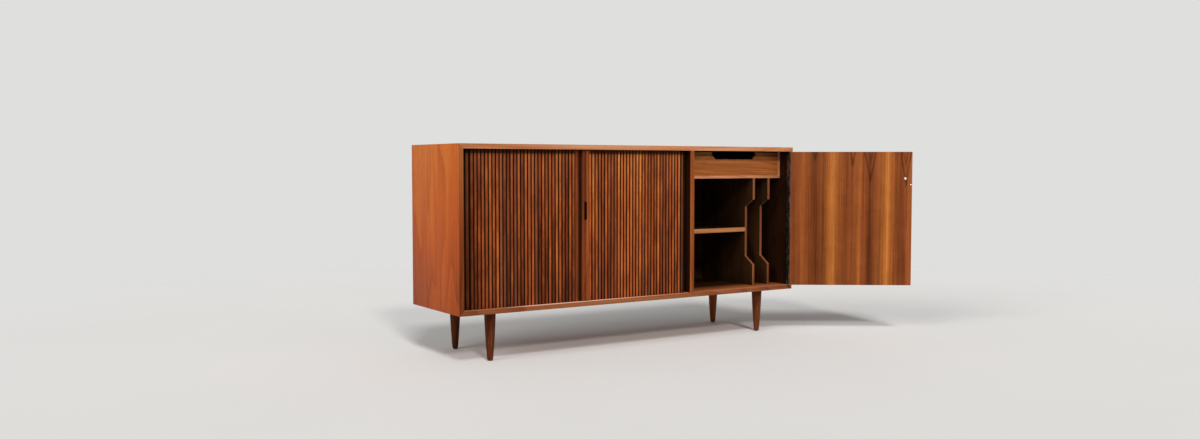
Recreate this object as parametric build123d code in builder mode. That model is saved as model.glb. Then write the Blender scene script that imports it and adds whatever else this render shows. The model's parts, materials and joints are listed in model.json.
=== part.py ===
from build123d import *
import os
from math import cos, degrees, pi, sin

# Tambour door cabinet on four turned legs.
# X runs to the right along the front, Y to the back, Z up; the origin is on the floor,
# in the middle of the front left-hand glide. Millimetres and degrees.

# ---- case ----
case_width = 1580
case_depth = 413
case_height = 610
leg_height = 179  # floor to the underside of the case, glide included
board = 18  # case boards, sides and divider
tambour_bay_width = 1007.5
rabbet_width = 9  # step round the back edge that takes the back panel
rabbet_depth = 8
back_thickness = 6
back_gap = 0.3  # round the back panel
front_arris = 0.8  # small chamfer on the outer front edges

# ---- tambour track and curtains ----
slat_pitch = 14.6
slat_gap = 0.3
slat_face = 8.6  # flat front of a slat, between its bevels
slat_bevel = 3.5  # depth of the bevels
slat_thickness = 8
slat_setback = 17  # slat faces behind the case front
slat_end_gap = 0.5
tongue_thickness = 4.4
tongue_length = 7.7
groove_width = 6
groove_depth = 8
track_radius = 28
track_side_gap = 7  # inner face of a side to the middle of the groove
track_back_gap = 13  # back panel to the middle of the groove
tail_slats = 6  # slats of each curtain that stand past the front run
canvas_thickness = 1
canvas_margin = 10  # canvas stops this far short of the slat shoulders
glue_line = 0.1
meeting_offset = -5  # left edge of the right-hand lead, from the middle of the bay
shadow_gap = 13.6  # recess between the two leads
lap = 9  # how far the left-hand lead reaches behind the right-hand one
lap_clearance = 0.5
lap_thickness = 4
lead_width = 31.4
lead_setback = 9
lead_bead = 9.5
lead_bead_radius = 2.5
lead_flute = 7
lead_flute_depth = 3.5
lead_rebate = 10
lead_end_gap = 2
lead_tongue_inset = 12
finger_slot_width = 12
finger_slot_height = 68
finger_slot_depth = 9
finger_slot_level = 343  # its middle, above the bay floor

# ---- inside the tambour bay ----
liner_inset = 14  # face of the side to the hidden face of the liner
liner_thickness = 9
liner_setback = 56
false_back_gap = 10  # middle of the back groove to the false back
false_back_thickness = 6
shelf_thickness = 18
shelf_setback = 62
shelf_end_gap = 0.3
shelf_level = 284  # underside, above the bay floor
pin_radius = 2.5
pin_in_wood = 7
pin_out = 8
pin_head_radius = 3.5
pin_hole_clearance = 0.05
pin_from_edge = 45
pin_hole_step = 64
pin_hole_rows = 3

# ---- right-hand bay ----
bay_setback = 61  # drawer, its shelf and the record boards, behind the case front
drawer_space = 102  # from the drawer shelf up to the ceiling of the bay
drawer_shelf_thickness = 12
lipping_width = 8
guide_width = 13
drawer_front_thickness = 11
drawer_front_height = 97.5
drawer_box_height = 80
stop_length = 19.7  # from the back panel to the running gap behind the drawer
drawer_wall = 10
drawer_base = 5
drawer_base_rise = 8  # groove for the base, above the drawer's lower edge
drawer_base_groove = 5
drawer_running_gap = 0.3
drawer_side_gap = 0.5
pull_width = 263  # cut-out in the drawer front, at its top edge
pull_floor_width = 202
pull_depth = 30
pull_corner = 7
stop_width = 24
stop_height = 12
record_board_thickness = 11
record_board_inset = 148  # middle of the inner one to the face of the right side
record_board_spacing = 84
record_setback = 110  # shallow part of the record boards' front
record_foot_height = 90
record_slope_height = 34
record_recess_top = 338
record_slope_top = 369
record_corner = 6
short_shelf_level = 230  # underside, above the bay floor

# ---- hinged door ----
door_thickness = 18
door_gap = 1.5
door_open_angle = 144.7
leaf_thickness = 1
leaf_width = 16
leaf_gap = 0.4  # between the two leaves when the door is shut
leaf_start = 0.2  # flat part of a leaf, behind the case front
barrel_radius = 2.5
barrel_clearance = 0.2
barrel_bore = 1.25
hinge_pin_radius = 1.05
knuckle_count = 29
knuckle_gap = 0.4
hinge_screws = 7
screw_head_radius = 2.3
screw_head_height = 0.95
screw_shank_radius = 1.4
screw_length = 13
screw_clearance = 0.05
screw_setback = 9.5
knob_from_edge = 29
knob_level = 458
knob_radius = 11
knob_neck_radius = 6
knob_length = 20
knob_screw_radius = 2
knob_screw_in_knob = 12
knob_screw_end_gap = 0.3
cap_nut_radius = 5
cap_nut_height = 6.5
cap_washer_radius = 6
cap_washer = 1
catch_level = 432
catch_sleeve_radius = 4
catch_sleeve_length = 13
catch_bore = 3.1
catch_bore_depth = 11
bullet_radius = 2.8
bullet_length = 8
bullet_out = 2.2
catch_screw_from_edge = 4.5
catch_screw_head_radius = 3
catch_screw_head_height = 1.6
catch_screw_slot = 0.8
strike_thickness = 1
strike_width = 12
strike_height = 32
strike_hole_radius = 3.4
strike_hole_depth = 3.5

# ---- legs ----
leg_inset_side = 148.5
leg_inset_front = 58.7
leg_top_radius = 21.5
leg_foot_radius = 11
leg_swell = 1.2  # fullness of the taper at half height
leg_foot_fillet = 2
glide_height = 4
glide_radius = 8
glide_edge = 1.5
glide_nail_radius = 1.5
glide_nail_length = 14
hanger_radius = 4
hanger_in_leg = 32
hanger_in_board = 13
hanger_clearance = 0.05

# ---- places that follow from the sizes above ----
x_left = -leg_inset_side
x_right = case_width - leg_inset_side
y_front = -leg_inset_front
y_back = case_depth - leg_inset_front
z_under = leg_height
z_top = leg_height + case_height
z_floor = z_under + board
z_ceiling = z_top - board
bay_left = x_left + board
divider_left = bay_left + tambour_bay_width
divider_right = divider_left + board
bay_right = x_right - board
y_inner_back = y_back - rabbet_depth

slat_width = slat_pitch - slat_gap
y_slat = y_front + slat_setback
y_canvas = y_slat + slat_thickness  # back faces of the slats
y_track = y_slat + slat_thickness / 2
y_track_back = y_inner_back - track_back_gap
canvas_radius = track_radius - slat_thickness / 2
bend_y = y_track + track_radius
bend_x = {-1: bay_left + track_side_gap + track_radius, 1: divider_left - track_side_gap - track_radius}
meeting_x = bay_left + tambour_bay_width / 2 + meeting_offset
y_false_back = y_track_back - false_back_gap - false_back_thickness

z_drawer_floor = z_ceiling - drawer_space
z_drawer_shelf = z_drawer_floor - drawer_shelf_thickness
y_bay = y_front + bay_setback
y_drawer_end = y_inner_back - stop_length - drawer_running_gap
drawer_left = divider_right + guide_width + drawer_side_gap
drawer_right = bay_right - guide_width - drawer_side_gap
z_drawer = z_drawer_floor + drawer_running_gap
record_x = [bay_right - record_board_inset, bay_right - record_board_inset + record_board_spacing]
short_shelf_right = record_x[0] - record_board_thickness / 2
short_pin_places = [  # y and z of the short shelf's pins
    (y, z_floor + short_shelf_level - pin_head_radius)
    for y in (y_front + record_setback + pin_from_edge, y_inner_back - pin_from_edge)
]

door_free_x = divider_right + door_gap
hinge_gap = 2 * leaf_thickness + leaf_gap
door_hinge_x = bay_right - hinge_gap
z_door = z_floor + door_gap
door_height = z_ceiling - z_floor - 2 * door_gap
hinge_x = bay_right - hinge_gap / 2
hinge_y = y_front - barrel_radius - barrel_clearance
hinge_axis = Axis((hinge_x, hinge_y, 0), (0, 0, 1))
knuckle_pitch = door_height / knuckle_count
z_catch = z_floor + catch_level
z_knob = z_floor + knob_level
y_door_middle = y_front + door_thickness / 2
y_inner_face = y_front + door_thickness

os.makedirs("parts", exist_ok=True)


def box_between(x, y, z, mode=Mode.ADD):
    """A box between two values of x, of y and of z, in the part being built."""
    with Locations((min(x), min(y), min(z))):
        size = (max(x) - min(x), max(y) - min(y), max(z) - min(z))
        Box(*size, align=(Align.MIN, Align.MIN, Align.MIN), mode=mode)


def behind_front(depth):
    """The plane parallel to the case front and this far behind it: x to the right, y up."""
    return Plane.XZ.offset(-(y_front + depth))


def save(part, label):
    """Label a finished piece and write it."""
    part.label = label
    export_step(part, f"parts/{label}.step")


def save_on_door(part, label):
    """Swing a piece of the door, built with the door shut, to where the open door stands."""
    save(part.rotate(hinge_axis, door_open_angle), label)


def cut_back_rabbet():
    """The step for the back panel, cut from a case board."""
    box_between(
        (x_left + board - rabbet_width, x_right - board + rabbet_width),
        (y_inner_back, y_back),
        (z_floor - rabbet_width, z_ceiling + rabbet_width),
        Mode.SUBTRACT,
    )


def curtain_place(side, run):
    """Where a slat stands whose middle is this far past the start of the bend, along the canvas.

    side is -1 for the left-hand curtain and 1 for the right-hand one.
    """
    quarter = canvas_radius * pi / 2
    start = bend_x[side]
    if run < 0:
        return Location((start + side * run, y_canvas, 0))
    if run < quarter:
        turn = run / canvas_radius
        place = (start + side * canvas_radius * sin(turn), bend_y - canvas_radius * cos(turn), 0)
        return Location(place, (0, 0, side * degrees(turn)))
    return Location((start + side * canvas_radius, bend_y + run - quarter, 0), (0, 0, side * 90))


# ---- case: four boards mitred together, and the divider ----

with BuildSketch() as track_ring:  # the groove seen from above: front, sides and back in one loop
    track_length = y_track_back - y_track
    track_span = bend_x[1] - bend_x[-1] + 2 * track_radius
    with Locations(((bend_x[1] + bend_x[-1]) / 2, (y_track + y_track_back) / 2)):
        wide = (track_span + groove_width, track_length + groove_width)
        narrow = (track_span - groove_width, track_length - groove_width)
        RectangleRounded(*wide, track_radius + groove_width / 2)
        RectangleRounded(*narrow, track_radius - groove_width / 2, mode=Mode.SUBTRACT)
    run_out = y_back - y_track_back + track_radius  # straight exits through which a curtain is loaded
    run_out_x = [bend_x[side] + side * track_radius for side in (-1, 1)]
    with Locations(*[(x, y_back - run_out / 2) for x in run_out_x]):
        Rectangle(groove_width, run_out)

leg_places = [
    (x, y) for x in (0, case_width - 2 * leg_inset_side) for y in (0, case_depth - 2 * leg_inset_front)
]

with BuildPart() as top_board:
    with BuildSketch(behind_front(0)):
        with BuildLine():
            Polyline(
                (x_left, z_top), (x_right, z_top), (bay_right, z_ceiling), (bay_left, z_ceiling), close=True
            )
        make_face()
    extrude(amount=-case_depth)
    outer_front = top_board.edges().filter_by(Axis.X).group_by(Axis.Z)[-1].sort_by(Axis.Y)[0]
    chamfer(outer_front, front_arris)
    cut_back_rabbet()
    extrude(Plane.XY.offset(z_ceiling) * track_ring.sketch, amount=groove_depth, mode=Mode.SUBTRACT)
save(top_board.part, "top_board")

with BuildPart() as bottom_board:
    with BuildSketch(behind_front(0)):
        with BuildLine():
            Polyline(
                (x_left, z_under), (x_right, z_under), (bay_right, z_floor), (bay_left, z_floor), close=True
            )
        make_face()
    extrude(amount=-case_depth)
    outer_front = bottom_board.edges().filter_by(Axis.X).group_by(Axis.Z)[0].sort_by(Axis.Y)[0]
    chamfer(outer_front, front_arris)
    cut_back_rabbet()
    extrude(Plane.XY.offset(z_floor) * track_ring.sketch, amount=-groove_depth, mode=Mode.SUBTRACT)
    with Locations(*[(x, y, z_under + hanger_in_board / 2) for x, y in leg_places]):
        Cylinder(hanger_radius + hanger_clearance, hanger_in_board, mode=Mode.SUBTRACT)
save(bottom_board.part, "bottom_board")

# the screw that holds a hinge leaf: head at x = 0, shank towards +x
with BuildPart() as hinge_screw:
    with BuildSketch(Plane.XY):
        with BuildLine():
            Polyline(
                (0, 0),
                (0, screw_head_radius),
                (screw_head_height, screw_shank_radius),
                (screw_length - screw_shank_radius, screw_shank_radius),
                (screw_length, 0),
                close=True,
            )
        make_face()
    revolve(axis=Axis.X)

# the hole that such a screw leaves in the leaf and in the wood
with BuildPart() as hinge_screw_hole:
    hole_radius = screw_shank_radius + screw_clearance
    sink_radius = screw_head_radius + screw_clearance
    with BuildSketch(Plane.XY):
        with BuildLine():
            Polyline(
                (0, 0),
                (0, sink_radius),
                (screw_head_height, hole_radius),
                (screw_length + screw_clearance, hole_radius),
                (screw_length + screw_clearance, 0),
                close=True,
            )
        make_face()
    revolve(axis=Axis.X)

screw_span = door_height - 2 * knuckle_pitch
screw_levels = [
    z_door + knuckle_pitch + screw_span * (number + 0.5) / hinge_screws for number in range(hinge_screws)
]
# screws of the case leaf point right into the side, those of the door leaf point left into the door
case_screw_places = [
    Location((bay_right - leaf_thickness, y_front + screw_setback, z)) for z in screw_levels
]
door_screw_places = [
    Location((door_hinge_x + leaf_thickness, y_front + screw_setback, z), (0, 0, 180)) for z in screw_levels
]

with BuildPart() as left_side:
    with BuildSketch(behind_front(0)):
        with BuildLine():
            Polyline(
                (x_left, z_under), (bay_left, z_floor), (bay_left, z_ceiling), (x_left, z_top), close=True
            )
        make_face()
    extrude(amount=-case_depth)
    outer_front = left_side.edges().filter_by(Axis.Z).group_by(Axis.X)[0].sort_by(Axis.Y)[0]
    chamfer(outer_front, front_arris)
    cut_back_rabbet()
save(left_side.part, "left_side")

with BuildPart() as right_side:
    with BuildSketch(behind_front(0)):
        with BuildLine():
            Polyline(
                (x_right, z_under), (bay_right, z_floor), (bay_right, z_ceiling), (x_right, z_top), close=True
            )
        make_face()
    extrude(amount=-case_depth)
    outer_front = right_side.edges().filter_by(Axis.Z).group_by(Axis.X)[-1].sort_by(Axis.Y)[0]
    chamfer(outer_front, front_arris)
    cut_back_rabbet()
    with Locations(*case_screw_places):
        add(hinge_screw_hole.part, mode=Mode.SUBTRACT)
save(right_side.part, "right_side")

with BuildPart() as centre_divider:
    box_between((divider_left, divider_right), (y_front, y_inner_back), (z_floor, z_ceiling))
    # pocket for the strike, and the hole behind it that the catch drops into
    box_between(
        (divider_right - strike_thickness, divider_right),
        (y_door_middle - strike_width / 2, y_door_middle + strike_width / 2),
        (z_catch - strike_height / 2, z_catch + strike_height / 2),
        Mode.SUBTRACT,
    )
    with BuildSketch(Plane.YZ.offset(divider_right)):
        with Locations((y_door_middle, z_catch)):
            Circle(strike_hole_radius)
    extrude(amount=-strike_hole_depth, mode=Mode.SUBTRACT)
    # holes for the short shelf's pins
    with BuildSketch(Plane.YZ.offset(divider_right)):
        with Locations(*short_pin_places):
            Circle(pin_radius + pin_hole_clearance)
    extrude(amount=-pin_in_wood, mode=Mode.SUBTRACT)
save(centre_divider.part, "centre_divider")

with BuildPart() as back_panel:
    reach = rabbet_width - back_gap
    box_between(
        (bay_left - reach, bay_right + reach),
        (y_inner_back, y_inner_back + back_thickness),
        (z_floor - reach, z_ceiling + reach),
    )
save(back_panel.part, "back_panel")

# ---- inside the tambour bay: liners and false back keep the contents off the curtains ----

liner_faces = {-1: bay_left + liner_inset, 1: divider_left - liner_inset}
z_liner_pin = z_floor + shelf_level - pin_head_radius
pin_levels = [z_liner_pin + (row - 1) * pin_hole_step for row in range(pin_hole_rows)]
liner_pin_y = [y_front + shelf_setback + pin_from_edge, y_false_back - pin_from_edge]

for side, label in ((-1, "left_liner"), (1, "right_liner")):
    shown_face = liner_faces[side] - side * liner_thickness
    with BuildPart() as liner:
        liner_y = (y_front + liner_setback, y_false_back)
        box_between((liner_faces[side], shown_face), liner_y, (z_floor, z_ceiling))
        with BuildSketch(Plane.YZ.offset(shown_face)):
            with Locations(*[(y, z) for y in liner_pin_y for z in pin_levels]):
                Circle(pin_radius + pin_hole_clearance)
        extrude(amount=side * pin_in_wood, mode=Mode.SUBTRACT)
    save(liner.part, label)

with BuildPart() as false_back:
    box_between(
        (liner_faces[-1], liner_faces[1]),
        (y_false_back, y_false_back + false_back_thickness),
        (z_floor, z_ceiling),
    )
save(false_back.part, "false_back")

shelf_left = liner_faces[-1] + liner_thickness
shelf_right = liner_faces[1] - liner_thickness
with BuildPart() as tambour_shelf:
    box_between(
        (shelf_left + shelf_end_gap, shelf_right - shelf_end_gap),
        (y_front + shelf_setback, y_false_back - shelf_end_gap),
        (z_floor + shelf_level, z_floor + shelf_level + shelf_thickness),
    )
save(tambour_shelf.part, "tambour_shelf")

# shelf pin: a stem in the wood and a fatter head under the shelf; it points along +x
with BuildPart() as shelf_pin:
    with BuildSketch(Plane.YZ):
        Circle(pin_radius)
    extrude(amount=-pin_in_wood)
    with BuildSketch(Plane.YZ):
        Circle(pin_head_radius)
    extrude(amount=pin_out)

with BuildPart() as tambour_shelf_pins:
    with Locations(*[Location((shelf_left, y, z_liner_pin)) for y in liner_pin_y]):
        add(shelf_pin.part)
    with Locations(*[Location((shelf_right, y, z_liner_pin), (0, 0, 180)) for y in liner_pin_y]):
        add(shelf_pin.part)
save(tambour_shelf_pins.part, "tambour_shelf_pins")

# ---- tambour curtains ----

# one slat, upright, with the middle of its canvas face on the Z axis and its show face towards -y
with BuildPart() as slat:
    tongue_end = z_floor - tongue_length
    with BuildSketch(Plane.XY.offset(tongue_end)):
        with BuildLine():
            Polyline(
                (-slat_width / 2, 0),
                (-slat_width / 2, slat_bevel - slat_thickness),
                (-slat_face / 2, -slat_thickness),
                (slat_face / 2, -slat_thickness),
                (slat_width / 2, slat_bevel - slat_thickness),
                (slat_width / 2, 0),
                close=True,
            )
        make_face()
    extrude(amount=z_ceiling + tongue_length - tongue_end)
    tongue_cheek = (slat_thickness - tongue_thickness) / 2
    ends = ((tongue_end, z_floor + slat_end_gap), (z_ceiling - slat_end_gap, z_ceiling + tongue_length))
    for z in ends:
        for y in ((-slat_thickness, tongue_cheek - slat_thickness), (-tongue_cheek, 0)):
            box_between((-slat_width, slat_width), y, z, Mode.SUBTRACT)

canvas_levels = (z_floor + slat_end_gap + canvas_margin, z_ceiling - slat_end_gap - canvas_margin)
left_lead_edge = meeting_x - shadow_gap - slat_pitch  # where the left-hand curtain's slats start
right_lead_edge = meeting_x + lead_width  # where the right-hand curtain's slats start
first_slat_run = {
    -1: bend_x[-1] - left_lead_edge + slat_pitch / 2,
    1: right_lead_edge - bend_x[1] + slat_pitch / 2,
}
canvas_start = {-1: meeting_x + lap - lap_clearance, 1: meeting_x + lead_rebate + lap_clearance}

for side, hand in ((-1, "left"), (1, "right")):
    front_count = int(-first_slat_run[side] // slat_pitch) + 1
    runs = [first_slat_run[side] + slat_pitch * number for number in range(front_count + tail_slats)]
    places = [curtain_place(side, run) for run in runs]

    with BuildPart() as front_slats:
        with Locations(*places[:front_count]):
            add(slat.part)
    save(front_slats.part, f"tambour_{hand}_slats")

    with BuildPart() as tail:
        with Locations(*places[front_count:]):
            add(slat.part)
    save(tail.part, f"tambour_{hand}_tail_slats")

    # canvas glued behind the slats of the front run
    y_glued = y_canvas + glue_line
    with BuildPart() as front_canvas:
        x_end = bend_x[side] - side * glue_line
        box_between((canvas_start[side], x_end), (y_glued, y_glued + canvas_thickness), canvas_levels)
    save(front_canvas.part, f"tambour_{hand}_canvas")

    # the same canvas round the bend and along the side
    outer = canvas_radius - glue_line
    inner = outer - canvas_thickness
    y_end = bend_y + runs[-1] + slat_width / 2 - canvas_radius * pi / 2
    x_bend = bend_x[side]
    with BuildPart() as tail_canvas:
        with BuildSketch(Plane.XY.offset(canvas_levels[0])):
            with BuildLine():
                diagonal = sin(pi / 4)
                ThreePointArc(
                    (x_bend, bend_y - outer),
                    (x_bend + side * outer * diagonal, bend_y - outer * diagonal),
                    (x_bend + side * outer, bend_y),
                )
                Polyline(
                    (x_bend + side * outer, bend_y),
                    (x_bend + side * outer, y_end),
                    (x_bend + side * inner, y_end),
                    (x_bend + side * inner, bend_y),
                )
                ThreePointArc(
                    (x_bend + side * inner, bend_y),
                    (x_bend + side * inner * diagonal, bend_y - inner * diagonal),
                    (x_bend, bend_y - inner),
                )
                Line((x_bend, bend_y - inner), (x_bend, bend_y - outer))
            make_face()
        extrude(amount=canvas_levels[1] - canvas_levels[0])
    save(tail_canvas.part, f"tambour_{hand}_tail_canvas")

tongue_y = (y_track - tongue_thickness / 2, y_track + tongue_thickness / 2)
tongue_levels = (z_floor - tongue_length, z_ceiling + tongue_length)

# left-hand lead: a slat with a recessed lap that runs behind the right-hand lead
y_lap = y_canvas - lap_thickness
with BuildPart() as left_lead:
    with BuildSketch(Plane.XY.offset(z_floor + slat_end_gap)):
        with BuildLine():
            strip_edge = meeting_x - shadow_gap
            bevel_run = (slat_pitch - slat_face) / 2
            Polyline(
                (left_lead_edge + slat_gap, y_canvas),
                (left_lead_edge + slat_gap, y_slat + slat_bevel),
                (left_lead_edge + bevel_run, y_slat),
                (strip_edge - bevel_run / 2, y_slat),
                (strip_edge, y_slat + bevel_run / 2),
                (strip_edge, y_lap),
                (meeting_x + lap, y_lap),
                (meeting_x + lap, y_canvas),
                close=True,
            )
        make_face()
    extrude(amount=z_ceiling - z_floor - 2 * slat_end_gap)
    box_between((left_lead_edge + slat_gap, meeting_x - shadow_gap - slat_gap), tongue_y, tongue_levels)
save(left_lead.part, "tambour_left_lead")

# right-hand lead: bead, flute and flat, with the finger slot in the flute and a rebate for the lap
y_lead = y_front + lead_setback
with BuildPart() as right_lead:
    with BuildSketch(Plane.XY.offset(z_floor + lead_end_gap)) as lead_section:
        with BuildLine():
            flute_left = meeting_x + lead_bead
            flute_right = flute_left + lead_flute
            lead_edge = right_lead_edge - slat_gap
            y_rebate = y_lap - lap_clearance
            Polyline(
                (meeting_x, y_rebate),
                (meeting_x, y_lead),
                (flute_left, y_lead),
                (flute_left, y_lead + lead_flute_depth),
                (flute_right, y_lead + lead_flute_depth),
                (flute_right, y_lead),
                (lead_edge, y_lead),
                (lead_edge, y_canvas),
                (meeting_x + lead_rebate, y_canvas),
                (meeting_x + lead_rebate, y_rebate),
                close=True,
            )
        make_face()
        bead_corners = lead_section.vertices().group_by(Axis.Y)[0].sort_by(Axis.X)
        fillet(bead_corners, lead_bead_radius)
    extrude(amount=z_ceiling - z_floor - 2 * lead_end_gap)
    box_between((meeting_x + lead_tongue_inset, lead_edge), tongue_y, tongue_levels)
    with BuildSketch(behind_front(lead_setback)):
        with Locations((flute_left + lead_flute / 2, z_floor + finger_slot_level)):
            SlotOverall(finger_slot_height, finger_slot_width, rotation=90)
    extrude(amount=-finger_slot_depth, mode=Mode.SUBTRACT)
save(right_lead.part, "tambour_right_lead")

# ---- right-hand bay: drawer shelf, guides, record boards and the short shelf ----

with BuildPart() as drawer_shelf:
    box_between(
        (divider_right, bay_right), (y_bay + lipping_width, y_inner_back), (z_drawer_shelf, z_drawer_floor)
    )
save(drawer_shelf.part, "drawer_shelf")

with BuildPart() as drawer_shelf_lipping:
    box_between((divider_right, bay_right), (y_bay, y_bay + lipping_width), (z_drawer_shelf, z_drawer_floor))
save(drawer_shelf_lipping.part, "drawer_shelf_lipping")

for label, x in (
    ("drawer_guide_left", (divider_right, divider_right + guide_width)),
    ("drawer_guide_right", (bay_right - guide_width, bay_right)),
):
    with BuildPart() as guide:
        box_between(x, (y_bay, y_inner_back), (z_drawer_floor, z_ceiling))
    save(guide.part, label)

with BuildPart() as drawer_stops:
    for x in (drawer_left, drawer_right - stop_width):
        box_between(
            (x, x + stop_width),
            (y_drawer_end + drawer_running_gap, y_inner_back),
            (z_drawer_floor, z_drawer_floor + stop_height),
        )
save(drawer_stops.part, "drawer_stops")

for x, label in zip(record_x, ("record_board_left", "record_board_right")):
    with BuildPart() as record_board:
        with BuildSketch(Plane.YZ.offset(x - record_board_thickness / 2)) as record_outline:
            with BuildLine():
                y_deep = y_front + record_setback
                Polyline(
                    (y_bay, z_floor),
                    (y_bay, z_floor + record_foot_height),
                    (y_deep, z_floor + record_foot_height + record_slope_height),
                    (y_deep, z_floor + record_recess_top),
                    (y_bay, z_floor + record_slope_top),
                    (y_bay, z_drawer_shelf),
                    (y_inner_back, z_drawer_shelf),
                    (y_inner_back, z_floor),
                    close=True,
                )
            make_face()
            soft_corners = record_outline.vertices().group_by(Axis.Z)[1:-1]
            fillet([corner for group in soft_corners for corner in group], record_corner)
        extrude(amount=record_board_thickness)
        if label == "record_board_left":
            with BuildSketch(Plane.YZ.offset(short_shelf_right)):
                with Locations(*short_pin_places):
                    Circle(pin_radius + pin_hole_clearance)
            extrude(amount=pin_in_wood, mode=Mode.SUBTRACT)
    save(record_board.part, label)

with BuildPart() as short_shelf:
    box_between(
        (divider_right + shelf_end_gap, short_shelf_right - shelf_end_gap),
        (y_front + record_setback, y_inner_back - shelf_end_gap),
        (z_floor + short_shelf_level, z_floor + short_shelf_level + shelf_thickness),
    )
save(short_shelf.part, "short_shelf")

with BuildPart() as short_shelf_pins:
    with Locations(*[Location((divider_right, y, z)) for y, z in short_pin_places]):
        add(shelf_pin.part)
    with Locations(*[Location((short_shelf_right, y, z), (0, 0, 180)) for y, z in short_pin_places]):
        add(shelf_pin.part)
save(short_shelf_pins.part, "short_shelf_pins")

# ---- drawer ----

with BuildPart() as drawer_front:
    box_between(
        (drawer_left, drawer_right),
        (y_bay, y_bay + drawer_front_thickness),
        (z_drawer, z_drawer + drawer_front_height),
    )
    with BuildSketch(behind_front(bay_setback)) as pull:
        with BuildLine():
            pull_x = (drawer_left + drawer_right) / 2
            z_rim = z_drawer + drawer_front_height
            Polyline(
                (pull_x - pull_width / 2, z_rim),
                (pull_x - pull_floor_width / 2, z_rim - pull_depth),
                (pull_x + pull_floor_width / 2, z_rim - pull_depth),
                (pull_x + pull_width / 2, z_rim),
                close=True,
            )
        make_face()
        fillet(pull.vertices().group_by(Axis.Z)[0], pull_corner)
    extrude(amount=-drawer_front_thickness, mode=Mode.SUBTRACT)
    # groove for the base
    box_between(
        (drawer_left + drawer_wall - drawer_base_groove, drawer_right - drawer_wall + drawer_base_groove),
        (y_bay + drawer_front_thickness - drawer_base_groove, y_bay + drawer_front_thickness),
        (z_drawer + drawer_base_rise, z_drawer + drawer_base_rise + drawer_base),
        Mode.SUBTRACT,
    )
save(drawer_front.part, "drawer_front")

y_box = y_bay + drawer_front_thickness
for label, x, inner in (
    ("drawer_side_left", drawer_left, drawer_left + drawer_wall),
    ("drawer_side_right", drawer_right, drawer_right - drawer_wall),
):
    with BuildPart() as drawer_side:
        box_between((x, inner), (y_box, y_drawer_end), (z_drawer, z_drawer + drawer_box_height))
        groove_side = inner - drawer_base_groove if inner > x else inner + drawer_base_groove
        box_between(
            (inner, groove_side),
            (y_box, y_drawer_end),
            (z_drawer + drawer_base_rise, z_drawer + drawer_base_rise + drawer_base),
            Mode.SUBTRACT,
        )
    save(drawer_side.part, label)

with BuildPart() as drawer_back:
    box_between(
        (drawer_left + drawer_wall, drawer_right - drawer_wall),
        (y_drawer_end - drawer_wall, y_drawer_end),
        (z_drawer + drawer_base_rise + drawer_base, z_drawer + drawer_box_height),
    )
save(drawer_back.part, "drawer_back")

with BuildPart() as drawer_bottom:
    box_between(
        (drawer_left + drawer_wall - drawer_base_groove, drawer_right - drawer_wall + drawer_base_groove),
        (y_box - drawer_base_groove, y_drawer_end),
        (z_drawer + drawer_base_rise, z_drawer + drawer_base_rise + drawer_base),
    )
save(drawer_bottom.part, "drawer_bottom")

# ---- hinged door, built shut and swung open ----

with BuildPart() as door_panel:
    box_between((door_free_x, door_hinge_x), (y_front, y_inner_face), (z_door, z_door + door_height))
    with Locations(*door_screw_places):
        add(hinge_screw_hole.part, mode=Mode.SUBTRACT)
    with BuildSketch(behind_front(0)):
        with Locations((door_free_x + knob_from_edge, z_knob)):
            Circle(knob_screw_radius + screw_clearance)
    extrude(amount=-door_thickness, mode=Mode.SUBTRACT)
    with BuildSketch(Plane.YZ.offset(door_free_x)):
        with Locations((y_door_middle, z_catch)):
            Circle(catch_sleeve_radius + screw_clearance)
    extrude(amount=catch_sleeve_length, mode=Mode.SUBTRACT)
    with BuildSketch(behind_front(door_thickness)):
        with Locations((door_free_x + catch_screw_from_edge, z_catch)):
            Circle(screw_shank_radius + screw_clearance)
    extrude(amount=door_thickness / 2, mode=Mode.SUBTRACT)
save_on_door(door_panel.part, "door_panel")

case_knuckles = [z_door + knuckle_pitch * number for number in range(0, knuckle_count, 2)]
door_knuckles = [z_door + knuckle_pitch * number for number in range(1, knuckle_count, 2)]


def hinge_leaf_body(x, knuckles):
    """A leaf between two values of x, with its share of the barrel, in the part being built."""
    box_between(x, (y_front + leaf_start, y_front + leaf_width), (z_door, z_door + door_height))
    knuckle = knuckle_pitch - knuckle_gap
    for z in knuckles:
        box_between(x, (hinge_y, y_front + leaf_start), (z + knuckle_gap / 2, z + knuckle_gap / 2 + knuckle))
    with Locations(*[(hinge_x, hinge_y, z + knuckle_pitch / 2) for z in knuckles]):
        Cylinder(barrel_radius, knuckle)
    with Locations((hinge_x, hinge_y, z_door + door_height / 2)):
        Cylinder(barrel_bore, door_height, mode=Mode.SUBTRACT)


with BuildPart() as hinge_case_leaf:
    hinge_leaf_body((bay_right - leaf_thickness, bay_right), case_knuckles)
    with Locations(*case_screw_places):
        add(hinge_screw_hole.part, mode=Mode.SUBTRACT)
save(hinge_case_leaf.part, "hinge_case_leaf")

with BuildPart() as hinge_door_leaf:
    hinge_leaf_body((door_hinge_x, door_hinge_x + leaf_thickness), door_knuckles)
    with Locations(*door_screw_places):
        add(hinge_screw_hole.part, mode=Mode.SUBTRACT)
save_on_door(hinge_door_leaf.part, "hinge_door_leaf")

with BuildPart() as hinge_pin:
    with Locations((hinge_x, hinge_y, z_door + door_height / 2)):
        Cylinder(hinge_pin_radius, door_height)
save(hinge_pin.part, "hinge_pin")

with BuildPart() as hinge_case_screws:
    with Locations(*case_screw_places):
        add(hinge_screw.part)
save(hinge_case_screws.part, "hinge_case_screws")

with BuildPart() as hinge_door_screws:
    with Locations(*door_screw_places):
        add(hinge_screw.part)
save_on_door(hinge_door_screws.part, "hinge_door_screws")

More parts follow.
